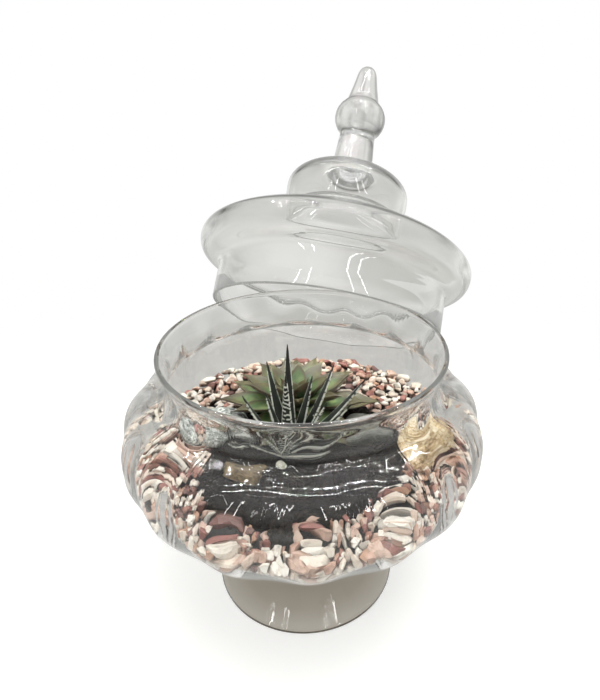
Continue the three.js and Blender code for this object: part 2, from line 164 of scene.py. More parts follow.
# One mesh from many parts: each is its points, its faces and a dictionary of values for its points.
def joinParts(name, parts):
    points, faces, values = [], [], {}
    start = 0
    for partPoints, partFaces, marks in parts:
        points.append(partPoints)
        faces.extend(tuple(start + k for k in face) for face in partFaces)
        for key, row in marks.items():
            values.setdefault(key, []).extend(row)
        start += len(partPoints)
    mesh = bpy.data.meshes.new(name)
    mesh.from_pydata(np.concatenate(points).tolist(), [], faces)
    for key, row in values.items():
        addValues(mesh, key, row)
    return addObject(name, mesh)


# A part from a shape, a 3x3 turn and size, and a place. ways are where its free sides look, and its
# openness to light is highest at the points that look there and 0 or less at those that lie in a gap,
# where the marble is given painted shade.
def copyPart(shape, turn, at, tone, ways):
    spread = shape[0] @ np.array(turn).T
    points = spread + np.array(at)
    spread /= np.linalg.norm(spread, axis=1)[:, None]
    bare = np.max(spread @ np.array(ways).T, axis=1)
    return points, shape[1], {"tone": [tone] * len(points), "bare": bare}


def randomWay(dice):
    return Vector((dice.gauss(0, 1), dice.gauss(0, 1), dice.gauss(0, 1))).normalized()


def randomTurn(dice):
    axis = randomWay(dice)
    return Matrix.Rotation(dice.uniform(0, fullTurn), 3, axis)


# Turns an sRGB hex colour to linear.
def linear(hexColour):
    values = [int(hexColour[i : i + 2], 16) / 255 for i in (1, 3, 5)]
    return [v / 12.92 if v <= 0.04045 else ((v + 0.055) / 1.055) ** 2.4 for v in values] + [1]


# Gives a new material, a function that adds nodes to it, and its shader.
def newMaterial(name):
    material = bpy.data.materials.new(name)
    material.use_nodes = True
    tree = material.node_tree
    return material, partial(addNode, tree), tree.nodes["Principled BSDF"]


def setRamp(ramp, stops):
    while len(ramp.elements) < len(stops):
        ramp.elements.new(0.5)
    for element, (position, colour) in zip(ramp.elements, stops):
        element.position = position
        element.color = linear(colour)


# Sets a node up. A key is stops for a ramp's colours, a setting, an input's name, or i and the input's
# number. A tuple of a node and an output links that output to the input.
def setNode(node, **values):
    for key, value in values.items():
        if key == "stops":
            setRamp(node.color_ramp, value)
        elif hasattr(node, key):
            setattr(node, key, value)
        else:
            socket = node.inputs[int(key[1:]) if key[1:].isdigit() else key.replace("_", " ")]
            if isinstance(value, tuple) and hasattr(value[0], "outputs"):
                node.id_data.links.new(value[0].outputs[value[1]], socket)
            else:
                socket.default_value = value


def addNode(tree, kind, **values):
    node = tree.nodes.new("ShaderNode" + kind)
    setNode(node, **values)
    return node


multiply = {"data_type": "RGBA", "blend_type": "MULTIPLY"}

# Lengths are in metres. deepest is how many surfaces a ray may pass before it ends in a painted grey glow.
glassLook = {
    "tint": "#FBFBFA",
    "shadow": "#F2F4F2",
    "jarEdgePaintedGlow": "#9C9D9A",
    "lidEdgePaintedGlow": "#B8B9B6",
    "body": "#B9BBB8",
    "density": 6.0,
    "ior": 1.5,
    "roughness": 0.006,
    "deepest": 9,
    "striaAround": 0.1,
    "striaWide": 0.0035,
    "striaLong": 0.06,
    "striaDeep": 0.00014,
    "striaCrest": 0.08,
}


# Blown soda-lime glass, fire-polished: clear, with bright thin highlights and grey edges. Light from
# the lamps passes it, so what it holds isn't in the dark. A ray that runs inside the wall for long ends
# in a painted glow, the grey of a thick edge, and the glass takes a little light, so the solid knob is
# greyer too.
def clearGlass(name, edge):
    material, add, shader = newMaterial(name)
    look = glassLook
    setNode(shader, Base_Color=linear(look["tint"]), Roughness=look["roughness"], IOR=look["ior"])
    setNode(shader, Transmission_Weight=1)
    path = add("LightPath")
    through = add("BsdfTransparent", Color=linear(look["shadow"]))
    # Painted light: past deepest surfaces the glass glows in its edge grey instead of tracing on.
    paintedGlow = add("Emission", Color=linear(edge), Strength=1.0)
    late = add("Math", operation="GREATER_THAN", i0=(path, "Ray Depth"), i1=look["deepest"])
    body = add("MixShader", i0=(late, "Value"), i1=(shader, "BSDF"), i2=(paintedGlow, "Emission"))
    mix = add("MixShader", i0=(path, "Is Shadow Ray"), i1=(body, "Shader"), i2=(through, "BSDF"))
    grey = add("VolumeAbsorption", Color=linear(look["body"]), Density=look["density"])
    setNode(material.node_tree.nodes["Material Output"], Surface=(mix, 0), Volume=(grey, 0))
    return material


# The fine lines that a ribbed mould leaves in the jar, faint on the lobes and deeper between them.
def addStriae(material):
    add, look, lobes = partial(addNode, material.node_tree), glassLook, jarShape["lobes"]
    middle = add("Mapping", Vector=(add("TexCoord"), "Object"), Location=tuple(-jarAxis))
    parts = add("SeparateXYZ", i0=(middle, "Vector"))
    angle = add("Math", operation="ARCTAN2", i0=(parts, "Y"), i1=(parts, "X"))
    lineCount = look["striaAround"] / look["striaWide"]
    around = add("Math", operation="MULTIPLY", i0=(angle, "Value"), i1=lineCount)
    upwards = add("Math", operation="DIVIDE", i0=(parts, "Z"), i1=look["striaLong"])
    place2d = add("CombineXYZ", i0=(around, "Value"), i1=(upwards, "Value"))
    lines = add("TexNoise", Vector=(place2d, "Vector"), Scale=1.0, Detail=2.0)
    start = -lobes * jarShape["lobeTurn"]
    turned = add("Math", operation="MULTIPLY_ADD", i0=(angle, "Value"), i1=lobes, i2=start)
    wave = add("Math", operation="COSINE", i0=(turned, "Value"))
    groove = add("MapRange", i0=(wave, "Value"), i1=-1.0, i2=1.0, i3=1.0, i4=look["striaCrest"])
    relief = add("Math", operation="MULTIPLY", i0=(lines, "Fac"), i1=(groove, "Result"))
    bump = add("Bump", Strength=1.0, Distance=look["striaDeep"], Height=(relief, "Value"))
    setNode(material.node_tree.nodes["Principled BSDF"], Normal=(bump, "Normal"))
    return material


# Points are (radius, height) in millimetres. The lobes fade over lobeFade under the rim and over
# lobeStart above the waist, and the rib behind each crest over ribFoot and, all but ribLoss, ribTop.
jarShape = {
    "steps": 256,
    "wall": 2.5,
    "rim": (85, 179.4),
    "lip": 1.5,
    "neck": (82, 165),
    "shoulder": (87.9, 151.8),
    "belly": (110.9, 114.9),
    "waist": (38.3, 55),
    "floor": 59,
    "floorEdge": 36,
    "underWaist": (2.6, 3),
    "flare": ((33, 40), (42, 22), (51, 12)),
    "toe": [(54.6, 8.2), (58.2, 4.8), (60.6, 2.8)],
    "foot": 61.8,
    "sole": [(0, 1.4), (-0.1, 0.5), (-0.6, 0), (-3, 0), (-4.2, 0.8)],
    "recess": ((49, 9), (36, 22), (32.4, 38)),
    "recessTop": [(31, 47), (27, 51), (18, 52), (0, 52)],
    "lobes": 16,
    "lobeTurn": radians(-84.8),
    "lobeDepth": 2.2,
    "lobeDepthInside": 0.5,
    "lobeFade": (3, 20),
    "lobeStart": 22,
    "rib": 2.1,
    "ribFoot": (98, 120),
    "ribTop": (132, 152),
    "ribLoss": 0.85,
}


def lobeStrength(height):
    waistHeight = jarShape["waist"][1]
    fromRim = smoothStep(jarShape["rim"][1] - height, *jarShape["lobeFade"])
    return fromRim * smoothStep(height, waistHeight, waistHeight + jarShape["lobeStart"])


# 0 on a lobe's crest, 1 in the groove between two.
def lobeWave(angle):
    return 0.5 - 0.5 * cos(jarShape["lobes"] * (angle - jarShape["lobeTurn"]))


# How far the outside and the inside of the wall stand in: the wall is thickest behind a crest.
def outerDent(angle, height):
    return jarShape["lobeDepth"] * lobeWave(angle)


def innerDent(angle, height):
    wave = lobeWave(angle)
    kept = 1 - jarShape["ribLoss"] * smoothStep(height, *jarShape["ribTop"])
    ribHere = jarShape["rib"] * kept * smoothStep(height, *jarShape["ribFoot"])
    return jarShape["lobeDepthInside"] * wave + ribHere * (1 - wave) ** 2


# The outside of the bowl and neck, from the waist up to just under the lip.
def bowlProfile(steps):
    waist, belly, shoulder, neck = (jarShape[key] for key in ("waist", "belly", "shoulder", "neck"))
    lipFoot = (jarShape["rim"][0], jarShape["rim"][1] - jarShape["lip"])
    return [
        waist,
        *bezier(waist, (waist[0] + 5, waist[1]), (belly[0], belly[1] - 31), belly, steps),
        *bezier(belly, (belly[0], belly[1] + 11.6), (112.8, 143.7), shoulder, steps),
        *bezier(shoulder, (84, 153.5), (neck[0], 157), neck, steps // 2),
        *bezier(neck, (neck[0], 171), (lipFoot[0] - 0.4, 174), lipFoot, steps // 3),
    ]


# The inside of the bowl and neck, from the floor up.
insideProfile = [p for p in offsetProfile(bowlProfile(20), jarShape["wall"]) if p[0] > jarShape["floorEdge"]]


def makeJar(glass):
    rimRadius, rimHeight = jarShape["rim"]
    waist, foot, floor, lip = (jarShape[key] for key in ("waist", "foot", "floor", "lip"))
    rim = [
        (rimRadius - lip - lip * cos(radians(a)), rimHeight - lip + lip * sin(radians(a)))
        for a in range(20, 171, 30)
    ]
    underWaist = (waist[0] - jarShape["underWaist"][0], waist[1] - jarShape["underWaist"][1])
    flare = [underWaist, *bezier(underWaist, *jarShape["flare"], 12)]
    sole = jarShape["toe"] + [(foot + r, z) for r, z in jarShape["sole"]]
    recess = bezier(sole[-1], *jarShape["recess"], 12) + jarShape["recessTop"]
    bowl = bowlProfile(24)[::-1]
    basin = [(0, floor), (16, floor), (28, floor + 0.4)]
    profile = basin + insideProfile + rim + bowl + flare + sole + recess
    marks = [0] * len(basin) + [1] * len(insideProfile) + [0] * len(rim) + [2] * len(bowl)
    marks += [0] * (len(profile) - len(marks))
    jar = spinProfile("jar", profile, jarShape["steps"], marks)
    for vertex, mark in zip(jar.data.vertices, jar.data.attributes["mark"].data):
        radius = hypot(vertex.co.x, vertex.co.y)
        if mark.value and radius > 1:
            dent = innerDent if mark.value < 1.5 else outerDent
            depth = dent(atan2(vertex.co.y, vertex.co.x), vertex.co.z) * lobeStrength(vertex.co.z)
            vertex.co.x *= (radius - depth) / radius
            vertex.co.y *= (radius - depth) / radius
    smoothAll(place(jar))
    setMaterial(jar, glass)
    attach(jar, "root")
    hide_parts("glass_jar")
    print("jar made")


# Points are (radius, height) in millimetres from the collar's edge. The radii of stemFoot and stemSide
# are measured from the stem and those of coneFoot from the cone. seat is where the middle of the
# collar's edge rests about the jar's axis.
lidShape = {
    "steps": 160,
    "wall": 2.5,
    "edgeExtra": 1.6,
    "edgeSpread": 4,
    "collar": (77, 26.7),
    "body": (92, 39),
    "throat": (46.5, 65),
    "fold": (38.6, 73),
    "tier": (42.6, 90.8),
    "tierTop": 106.2,
    "ceiling": [(0, 3.2), (10, 3.1)],
    "stem": 13.6,
    "stemFoot": [(4, 0), (1.6, 0.6), (0.6, 2), (0.5, 6)],
    "stemSide": [(0, 122), (-0.7, 132), (-1, 137), (-0.8, 139.4)],
    "ball": (18.2, 151.5),
    "ballFlat": 0.84,
    "cone": 11.1,
    "coneFoot": [(0.4, 165), (0, 166), (-0.2, 168)],
    "coneSide": (8.7, 178),
    "coneTop": [(7.4, 185), (6.6, 190), (5.4, 192.6)],
    "tip": (0.6, 193.8),
    "seat": (12.14, 50.85, 170.13),
    "lean": radians(37.59),
    "side": radians(8.22),
}


# The outside of the lid from the collar up to the foot of the stem.
def lidSkin(steps):
    widest, throat, fold, tier = (lidShape[key] for key in ("body", "throat", "fold", "tier"))
    radius, height = lidShape["collar"]
    bendStart, bendEnd = (radius, height - 7), (radius + 6, height + 1)
    stemFoot = (lidShape["stem"] + lidShape["stemFoot"][0][0], lidShape["tierTop"])
    return [
        (radius, 12),
        bendStart,
        *bezier(bendStart, (radius, height - 1), (radius + 1.4, height), bendEnd, steps // 2),
        *bezier(bendEnd, (widest[0] - 3, height + 2.6), (widest[0], widest[1] - 6), widest, steps),
        *bezier(widest, (widest[0], 49), (74, 55), throat, steps * 2),
        *bezier(throat, (42.5, 66.6), (fold[0], 68.6), fold, steps),
        *quarter(fold, tier, steps, True),
        *quarter(tier, stemFoot, steps, False),
    ]


def lidFinial():
    stem, top, cone, tip = (lidShape[key] for key in ("stem", "tierTop", "cone", "tip"))
    radius, height = lidShape["ball"]
    ball = []
    for degrees in range(-44, 46, 8):
        a = radians(degrees)
        ball.append((radius * cos(a), height + radius * lidShape["ballFlat"] * sin(a)))
    return [
        *bezier(*((stem + r, top + z) for r, z in lidShape["stemFoot"]), 6),
        *((stem + r, z) for r, z in lidShape["stemSide"]),
        *ball,
        *bezier(ball[-1], *((cone + r, z) for r, z in lidShape["coneFoot"]), 4),
        lidShape["coneSide"],
        *bezier(*lidShape["coneTop"], tip, 8),
        (0, tip[1]),
    ]


def makeLid(glass):
    half = lidShape["wall"] / 2
    edge = []
    for degrees in range(-90, 91, 30):
        a = radians(degrees)
        edge.append((lidShape["collar"][0] - half + half * sin(a), 1 - cos(a)))
    skin = lidSkin(12)
    hollow = []
    for r, z in offsetProfile(skin, lidShape["wall"])[::-1]:
        thicker = exp(-(((r - lidShape["body"][0]) / lidShape["edgeSpread"]) ** 2))
        hollow.append((r - lidShape["edgeExtra"] * thicker, z))
    ceiling = [(r, lidShape["tierTop"] - drop) for r, drop in lidShape["ceiling"]]
    profile = ceiling + hollow + edge + skin + lidFinial()
    lid = spinProfile("lid", profile, lidShape["steps"], [0] * len(profile))
    lean = Matrix.Rotation(-lidShape["lean"], 4, "X") @ Matrix.Rotation(lidShape["side"], 4, "Y")
    smoothAll(place(lid, Matrix.Translation(lidShape["seat"]) @ lean))
    setMaterial(lid, glass)
    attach(lid, "root")
    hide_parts("glass_lid")
    print("lid made")


# Lengths are in millimetres, the steps between stones and jitter are shares of a stone's size. loose
# is the depth of the stones that show from above, and free is how open to light a stone's side at the
# glass counts. The last ramp is the painted shade laid on faces that turn into the gaps.
bed = {
    "gap": 0.4,
    "stoneTop": 79,
    "top": 110,
    "loose": 5,
    "soilMiddle": (-2, -12),
    "soilRadius": 64,
    "layers": 2,
    "ringStep": 0.62,
    "layerStep": 0.72,
    "alongStep": 0.84,
    "jitter": 0.3,
    "sizes": ((0.62, 1.28), (0.7, 0.95), (0.55, 0.85)),
    "stretch": 0.9,
    "stretchFrom": (14, 6),
    "free": 0.78,
    "roughness": 0.62,
    "veins": [(0.3, "#A69A90"), (0.48, "#EFEAE5"), (0.7, "#FFFFFF")],
    "veinShare": 0.7,
    "paintedGapShade": [(0.04, "#4A3D35"), (0.24, "#A3958B"), (0.44, "#FFFFFF")],
}

# shapes are their count, the cuts of each and a seed. Colours run from pale to dark, and the last is
# the shade between the stones. pale is how common pale chips are: at least, low down and at the left.
chipBed = {
    "size": 7.4,
    "shapes": (14, 10, 41),
    "seed": 7,
    "rings": (58.0, 104),
    "alongStep": 0.72,
    "material": "crushed_pink_marble",
    "grain": 260.0,
    "colours": [
        "#F4F0E9", "#EEE6DC", "#E8DACD", "#DEC8BA", "#D2B4A5", "#C49F8E",
        "#B88F76", "#A6786A", "#925D54", "#6E4841", "#2A221E",
    ],
    "pale": (0.25, 0.85, 0.8),
    "paleHeights": (98, 107),
    "paleSide": radians(165),
}

stoneBed = {
    "size": 12.5,
    "shapes": (8, 9, 43),
    "seed": 9,
    "material": "crushed_white_marble",
    "grain": 180.0,
    "colours": [
        "#F6F2EA", "#F1EADD", "#EDE5D8", "#E7DCCB", "#E9DDD0", "#F3EEE6",
        "#DFCDBC", "#EFE8DC", "#E3CFBF", "#F0EAE0", "#4A4038",
    ],
    "pale": 0.3,
}


# The jar's inner radius at a height and an angle, less a gap.
def roomRadius(height, angle):
    if height < insideProfile[0][1]:
        return insideProfile[0][0] - 1
    for (r0, z0), (r1, z1) in zip(insideProfile, insideProfile[1:]):
        if height <= z1:
            share = (height - z0) / (z1 - z0)
            return r0 + (r1 - r0) * share - innerDent(angle, height) * lobeStrength(height) - bed["gap"]
    return jarShape["neck"][0] - jarShape["wall"] - 1


def soilEdge(angle):
    return bed["soilRadius"] * (1 + 0.05 * sin(3 * angle + 1) + 0.035 * sin(5 * angle))


def inSoil(x, y, margin):
    dx, dy = x - bed["soilMiddle"][0], y - bed["soilMiddle"][1]
    return hypot(dx, dy) < soilEdge(atan2(dy, dx)) + margin


# Crushed stone: a rough ball cut flat by a few planes.
def crushedShapes(count, cuts, seed):
    dice = Random(seed)
    shapes = []
    for _ in range(count):
        deselect()
        bpy.ops.mesh.primitive_ico_sphere_add(subdivisions=1, radius=0.66)
        chip = bpy.context.object
        editMode()
        for _ in range(cuts):
            way = randomWay(dice)
            reach = dice.uniform(0.26, 0.44)
            bpy.ops.mesh.select_all(action="SELECT")
            bpy.ops.mesh.bisect(plane_co=way * reach, plane_no=way, use_fill=True, clear_outer=True)
        bpy.ops.mesh.select_all(action="SELECT")
        bpy.ops.mesh.remove_doubles(threshold=0.03)
        bpy.ops.mesh.dissolve_limited(angle_limit=radians(9))
        closeMesh()
        shapes.append(takeShape(chip))
    return shapes


# Where the chips and stones lie against the glass, ring over ring.
def chipPlaces(dice, low, high, size):
    jitter = bed["jitter"]
    places = []
    height = low + size * 0.4
    while height < high:
        for layer in range(bed["layers"]):
            radius = roomRadius(height, jarShape["lobeTurn"]) - size * (0.36 + bed["layerStep"] * layer)
            count = int(fullTurn * radius / (size * bed["alongStep"]))
            phase = dice.uniform(0, 1)
            for i in range(count):
                angle = (i + phase + dice.uniform(-jitter, jitter)) / count * fullTurn
                reach = radius + dice.uniform(-0.1, 0.3) * size
                lift = dice.uniform(-jitter, jitter) * size
                places.append((reach * cos(angle), reach * sin(angle), height + lift))
        height += size * bed["ringStep"]
    return places


# Where the chips lie in the top layer around the soil.
def topPlaces(dice, size):
    places = []
    ring, lastRing = chipBed["rings"]
    while ring < lastRing:
        count = int(fullTurn * ring / (size * chipBed["alongStep"]))
        for i in range(count):
            angle = (i + dice.uniform(-0.35, 0.35)) / count * fullTurn
            reach = ring + dice.uniform(-2, 2)
            x, y = reach * cos(angle), reach * sin(angle)
            if not inSoil(x, y, 1):
                places.append((x, y, bed["top"] - 2 + dice.uniform(-2, 2.5)))
        ring += size * bed["ringStep"]
    return places


# How far the worst point of a copy stands out of the room, with that point's angle and height.
def overshoot(spread, at):
    points = spread + np.array(at)
    radii, angles = np.hypot(points[:, 0], points[:, 1]), np.arctan2(points[:, 1], points[:, 0])
    return max((r - roomRadius(z, a), a, z) for r, a, z in zip(radii, angles, points[:, 2]))


# Moves a copy off the wall and the floor of the room, by no more than it needs.
def keepInside(shape, turn, at):
    spread = shape[0] @ np.array(turn).T
    x, y, z = at
    for _ in range(3):
        z = max(z, jarShape["floor"] + bed["gap"] - min(spread[:, 2]))
        out, angle, height = overshoot(spread, (x, y, z))
        if out <= 0:
            return (x, y, z)
        slope = (roomRadius(height + 1, angle) - roomRadius(height - 1, angle)) / 2
        step = out / (1 + slope * slope)
        x, y, z = x - step * cos(angle), y - step * sin(angle), z + step * slope
    out = max(overshoot(spread, (x, y, z))[0], 0)
    away = hypot(x, y)
    return (x * (away - out) / away, y * (away - out) / away, z)


# The solid middle of a bed behind its stones, from the radius hole outwards.
def bedCore(low, high, inset, hole, tone):
    levels = 6
    profile = [(hole, low)]
    for i in range(levels + 1):
        height = low + (high - low) * i / levels
        profile.append((roomRadius(height, jarShape["lobeTurn"]) - inset, height))
    profile.append((hole, high))
    core = spinProfile("core", profile, 64, [0] * len(profile))
    mesh = core.data
    mesh.attributes.remove(mesh.attributes["mark"])
    # Its tone picks its colour, and its openness to light of 0.3 gives it a little painted gap shade.
    addValues(mesh, "tone", [tone] * len(mesh.vertices))
    addValues(mesh, "bare", [0.3] * len(mesh.vertices))
    return core


# Crushed marble: matt broken faces with a fine grain, each chip of its own colour, faintly veined, with
# painted shade on the faces that turn into the gaps between the chips.
def marbleMaterial(name, colours, grain):
    material, add, shader = newMaterial(name)
    tone = add("Attribute", attribute_name="tone")
    bare = add("Attribute", attribute_name="bare")
    stops = [(i / len(colours), colour) for i, colour in enumerate(colours)]
    palette = add("ValToRGB", stops=stops, Fac=(tone, "Fac"))
    palette.color_ramp.interpolation = "CONSTANT"
    cloud = add("TexNoise", Vector=(add("TexCoord"), "Object"), Scale=grain, Detail=5.0, Roughness=0.62)
    shade = add("ValToRGB", stops=bed["veins"], Fac=(cloud, "Fac"))
    veined = add("Mix", **multiply, i0=bed["veinShare"], i6=(palette, "Color"), i7=(shade, "Color"))
    # Painted shade: faces with little openness to light, those looking into the gaps, are darkened.
    gap = add("ValToRGB", stops=bed["paintedGapShade"], Fac=(bare, "Fac"))
    mix = add("Mix", **multiply, i0=1.0, i6=(veined, 2), i7=(gap, "Color"))
    bump = add("Bump", Strength=0.4, Distance=0.0006, Height=(cloud, "Fac"))
    setNode(shader, Base_Color=(mix, 2), Roughness=bed["roughness"], Normal=(bump, "Normal"))
    return material


# Stones against the glass are wider behind a lobe's crest, as the lobe makes them look.
def makeBed(name, node, plan, places, core, tones):
    dice = Random(plan["seed"])
    shapes = crushedShapes(*plan["shapes"])
    start, end = bed["stretchFrom"]
    whole, across, through = bed["sizes"]
    copies = []
    for x, y, z in places:
        shape, angle = dice.choice(shapes), atan2(y, x)
        shares = (1, dice.uniform(*across), dice.uniform(*through))
        scale = [plan["size"] * dice.uniform(*whole) * share for share in shares]
        wall = roomRadius(z, angle)
        against = smoothStep(hypot(x, y), wall - start, wall - end)
        wide = 1 + bed["stretch"] * against * max(0, 1 - 2.2 * lobeWave(angle))
        around = Matrix.Rotation(angle, 3, "Z")
        stretch = around @ Matrix.Diagonal((1, wide, 1)) @ around.transposed()
        turn = stretch @ randomTurn(dice) @ Matrix.Diagonal(scale)
        at = keepInside(shape, turn, (x, y, z))
        # The sides that face the glass, and the tops of the loose stones, are spared the painted gap shade.
        ways = [Vector((x, y, (z - bed["top"]) * 1.2)).normalized() * bed["free"]]
        if z > bed["top"] - bed["loose"]:
            ways.append(Vector((0, 0, 1)))
        copies.append(copyPart(shape, turn, at, tones(dice, at), ways))
    piece = joinParts(name, copies)
    deselect()
    core.select_set(True)
    piece.select_set(True)
    bpy.context.view_layer.objects.active = piece
    bpy.ops.object.join()
    place(piece)
    setMaterial(piece, marbleMaterial(plan["material"], plan["colours"], plan["grain"]))
    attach(piece, "root")
    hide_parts(node)
    print(name, "made of", len(copies), "stones,", len(piece.data.polygons), "faces")


# A number for the palette: pale is the share of near-white chips, the rest fall anywhere in it.
def toneOf(dice, pale, colours):
    count = len(colours) - 1
    pick = dice.randrange(3) if dice.random() < pale else dice.randrange(count)
    return (pick + 0.5) / len(colours)


# More of the chips are pale low down against the glass and at the left.
def chipTone(dice, at):
    least, low, left = chipBed["pale"]
    atLeft = max(0, cos(atan2(at[1], at[0]) - chipBed["paleSide"])) ** 8
    pale = max(least, low * (1 - smoothStep(at[2], *chipBed["paleHeights"])), left * atLeft)
    return toneOf(dice, pale, chipBed["colours"])


def stoneTone(dice, at):
    return toneOf(dice, stoneBed["pale"], stoneBed["colours"])


# The dark clump of peat that shows among the chips at the front.
clump = {
    "angle": radians(-94),
    "halfAngle": radians(5),
    "low": 104,
    "reach": (70, 87),
    "crumbs": 160,
    "sizes": (2.2, 5),
}


def inClump(x, y, z):
    within = abs(atan2(y, x) - clump["angle"]) < clump["halfAngle"]
    return within and z > clump["low"] and hypot(x, y) < clump["reach"][1]


def makeBeds():
    dice = Random(5)
    floor, stoneTop, top = jarShape["floor"], bed["stoneTop"], bed["top"]
    size = chipBed["size"]
    places = chipPlaces(dice, stoneTop - 1, top - size * 0.5, size) + topPlaces(dice, size)
    places = [p for p in places if not inClump(*p)]
    # The chip bed's core takes the palette's last colour, a dark painted shade behind the chips.
    core = bedCore(stoneTop + 1, top - 6, inset=9, hole=50, tone=0.99)
    makeBed("pink_chips", "pink_gravel_bed", chipBed, places, core, chipTone)

    size = stoneBed["size"]
    places = chipPlaces(dice, floor - 3, stoneTop - size * 0.2, size)
    core = bedCore(floor + 2, stoneTop, inset=6, hole=0, tone=0.05)
    makeBed("white_stones", "white_stone_bed", stoneBed, places, core, stoneTone)


# Lengths are in millimetres. The crumbs lie at sink under the bed's top, give or take spread.
soilPlan = {
    "crumbs": 1100,
    "margin": 2,
    "sizes": (1.8, 2.4, 3, 3.6, 5),
    "sink": 1.4,
    "spread": (-0.8, 1),
    "grain": 420.0,
    "colours": [(0.3, "#0B0908"), (0.5, "#1B1613"), (0.62, "#30271F"), (0.8, "#4F4133")],
}


# Potting soil: damp peat with coarse dark crumbs, almost no shine.
def soilMaterial():
    material, add, shader = newMaterial("damp_potting_soil")
    grain = soilPlan["grain"]
    crumbs = add("TexNoise", Vector=(add("TexCoord"), "Object"), Scale=grain, Detail=6.0, Roughness=0.7)
    colour = add("ValToRGB", stops=soilPlan["colours"], Fac=(crumbs, "Fac"))
    bump = add("Bump", Strength=0.8, Distance=0.0012, Height=(crumbs, "Fac"))
    setNode(shader, Base_Color=(colour, "Color"), Normal=(bump, "Normal"))
    setNode(shader, Roughness=0.9, Specular_IOR_Level=0.2)
    return material


def makeSoil():
    dice = Random(17)
    earth = soilMaterial()
    setMaterial(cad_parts["soil"], earth)
    shapes = crushedShapes(6, 3, 47)
    upwards = [(0, 0, 1)]
    copies = []
    for i in range(soilPlan["crumbs"]):
        reach = (bed["soilRadius"] + soilPlan["margin"]) * sqrt((i + 0.5) / soilPlan["crumbs"])
        angle = i * goldenAngle
        x = bed["soilMiddle"][0] + reach * cos(angle)
        y = bed["soilMiddle"][1] + reach * sin(angle)
        size = dice.choice(soilPlan["sizes"])
        at = (x, y, bed["top"] - soilPlan["sink"] + dice.uniform(*soilPlan["spread"]))
        shape, turn = dice.choice(shapes), randomTurn(dice)
        scale = Matrix.Diagonal([size * dice.uniform(0.7, 1.1) for _ in range(3)])
        copies.append(copyPart(shape, turn @ scale, at, 0, upwards))
    for _ in range(clump["crumbs"]):
        angle = clump["angle"] + clump["halfAngle"] * dice.uniform(-1, 1)
        height = dice.uniform(clump["low"], bed["top"])
        size = dice.uniform(*clump["sizes"])
        reach = dice.uniform(*clump["reach"])
        shape, turn = dice.choice(shapes), randomTurn(dice) @ Matrix.Scale(size, 3)
        at = keepInside(shape, turn, (reach * cos(angle), reach * sin(angle), height))
        copies.append(copyPart(shape, turn, at, 0, upwards))
    crumbs = place(joinParts("soil_crumbs", copies))
    setMaterial(crumbs, earth)
    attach(crumbs, "root")
    print("soil made of", len(copies), "crumbs")


# rough is the height of the relief in millimetres, grain its fineness and speckle that of the minerals.
evenStops = (0.36, 0.46, 0.54, 0.64)
pebbles = {
    "granite_pebble": {
        "slot": "granite", "rough": 0.25, "grain": 0.5, "speckle": 480.0, "stops": (0.42, 0.46, 0.53, 0.57),
        "colours": ("#232523", "#838882", "#B9BDB5", "#FAFAF6"),
    },
    "dark_stone": {
        "slot": "dark_rock", "rough": 0.5, "grain": 0.22, "speckle": 500.0, "stops": evenStops,
        "colours": ("#22231F", "#3A3B35", "#55564D", "#77766A"),
    },
    "honey_rock": {
        "slot": "honey_rock", "rough": 1.6, "grain": 0.16, "speckle": 620.0, "stops": (0.4, 0.46, 0.52, 0.6),
        "colours": ("#7A603F", "#B9996A", "#DAC49A", "#F1E7D2"),
    },
    "brown_stone": {
        "slot": "brown_rock", "rough": 0.4, "grain": 0.2, "speckle": 420.0, "stops": evenStops,
        "colours": ("#33291A", "#5A4A2C", "#74613D", "#978352"),
    },
    "pale_pebble": {
        "slot": "pale_rock", "rough": 0.15, "grain": 0.4, "speckle": 700.0, "stops": evenStops,
        "colours": ("#8E8C80", "#BDB9A8", "#DAD7C8", "#F0EDE2"),
    },
}


# River and garden stones: worn or broken rock, matt, its minerals as speckles of about a millimetre.
def rockMaterial(name, look):
    material, add, shader = newMaterial(name)
    place3d = add("TexCoord")
    fine = look["speckle"]
    minerals = add("TexNoise", Vector=(place3d, "Object"), Scale=fine, Detail=4.0, Roughness=0.75)
    cloud = add("TexNoise", Vector=(place3d, "Object"), Scale=fine / 7, Detail=3.0)
    blend = add("Mix", data_type="FLOAT", i0=0.35, i2=(minerals, "Fac"), i3=(cloud, "Fac"))
    colours = list(zip(look["stops"], look["colours"]))
    colour = add("ValToRGB", stops=colours, Fac=(blend, "Result"))
    bump = add("Bump", Strength=0.4, Distance=0.0006, Height=(minerals, "Fac"))
    setNode(shader, Base_Color=(colour, "Color"), Roughness=0.6, Normal=(bump, "Normal"))
    return material


# Each stone is its node's own form, rounded, swollen by what that takes away, and roughened by noise.
def makePebbles():
    swell = 1.05
    for node, look in pebbles.items():
        deselect()
        piece = addObject(node + "_fine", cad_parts[node].data.copy())
        piece.select_set(True)
        bpy.context.view_layer.objects.active = piece
        editMode()
        bpy.ops.mesh.remove_doubles(threshold=0.00001)
        bpy.ops.object.mode_set(mode="OBJECT")
        rounding = piece.modifiers.new("rounding", "SUBSURF")
        rounding.levels = rounding.render_levels = 4
        bpy.ops.object.modifier_apply(modifier=rounding.name)
        low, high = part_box(node)
        middle = (low + high) / 2
        for vertex in piece.data.vertices:
            fromMiddle = vertex.co - middle
            way = fromMiddle.normalized()
            bump = noise.fractal(vertex.co / mm * look["grain"], 0.9, 2.1, 4)
            vertex.co = middle + fromMiddle * swell + way * (bump - 0.2) * look["rough"] * mm
        smoothAll(piece)
        setMaterial(piece, rockMaterial(node + "_rock", look))
        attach(piece, "root")
        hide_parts(node)
    print("single stones made")


